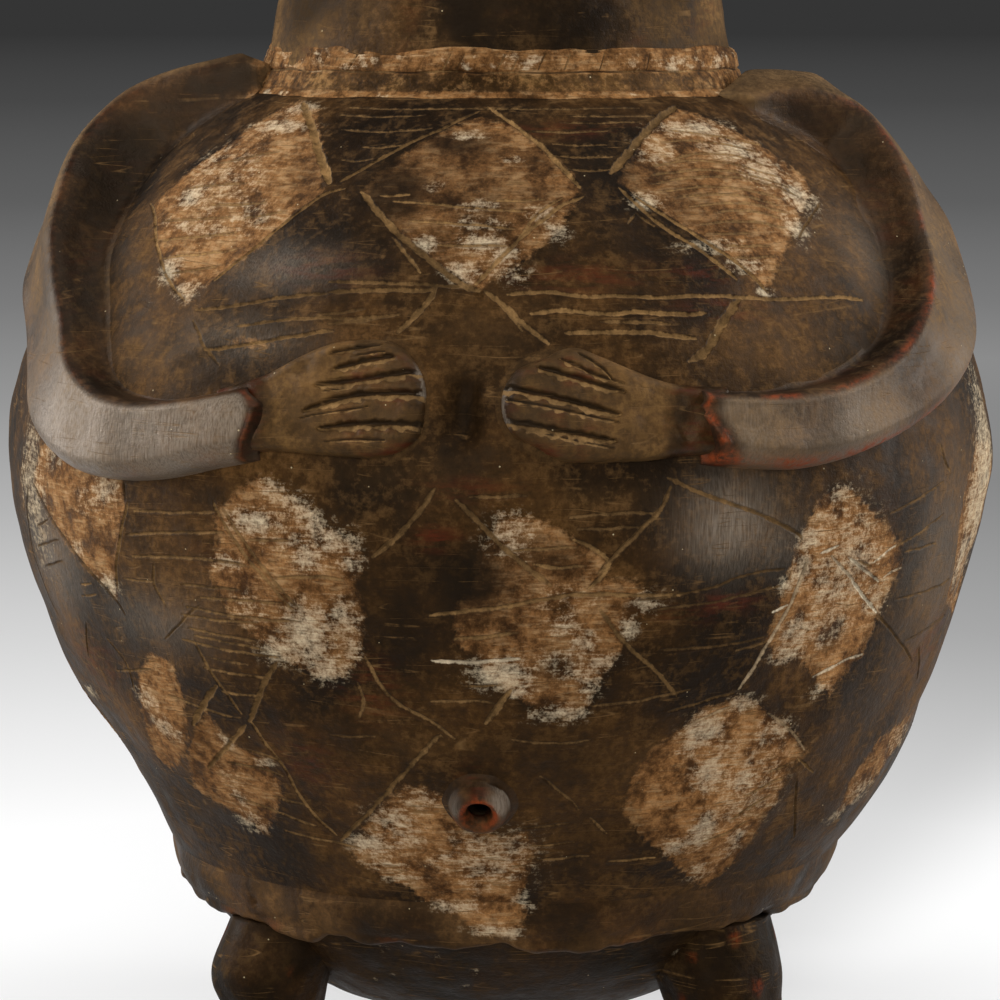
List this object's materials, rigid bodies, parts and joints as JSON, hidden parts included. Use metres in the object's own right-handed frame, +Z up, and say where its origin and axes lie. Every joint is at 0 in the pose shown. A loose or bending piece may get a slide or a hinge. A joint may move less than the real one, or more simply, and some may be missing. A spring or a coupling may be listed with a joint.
{
  "type": "ceremonial vessel",
  "caption": "Globular fired-clay vessel on three stub legs, with applied arms and hands, a pierced navel, a collared neck and a turned-out lip.",
  "frame": {"origin": "on the ground below the middle of the vessel", "axes": "+Z up through the neck, the figure faces -Y, +X to the right seen from the front"},
  "size_m": [0.3316, 0.3352, 0.4656],
  "materials": {
    "smoked_clay": "smoke-blackened low-fired earthenware, dusty",
    "burnished_clay": "burnished and oiled earthenware with a soft gloss",
    "pigmented_clay": "rubbed white kaolin over ochre on earthenware"
  },
  "bodies": {
    "root": {"belly": "smoked_clay", "base_bowl": "smoked_clay", "base_belt": "smoked_clay", "neck": "smoked_clay", "neck_collar": "pigmented_clay", "mouth_lip": "smoked_clay", "navel_boss": "burnished_clay", "left_upper_arm": "burnished_clay", "left_forearm": "burnished_clay", "left_hand": "smoked_clay", "left_fingertip_fillet": "smoked_clay", "right_upper_arm": "burnished_clay", "right_forearm": "burnished_clay", "right_hand": "smoked_clay", "right_fingertip_fillet": "smoked_clay", "left_leg": "smoked_clay", "right_leg": "smoked_clay", "rear_leg": "smoked_clay"}
  },
  "joints": []
}
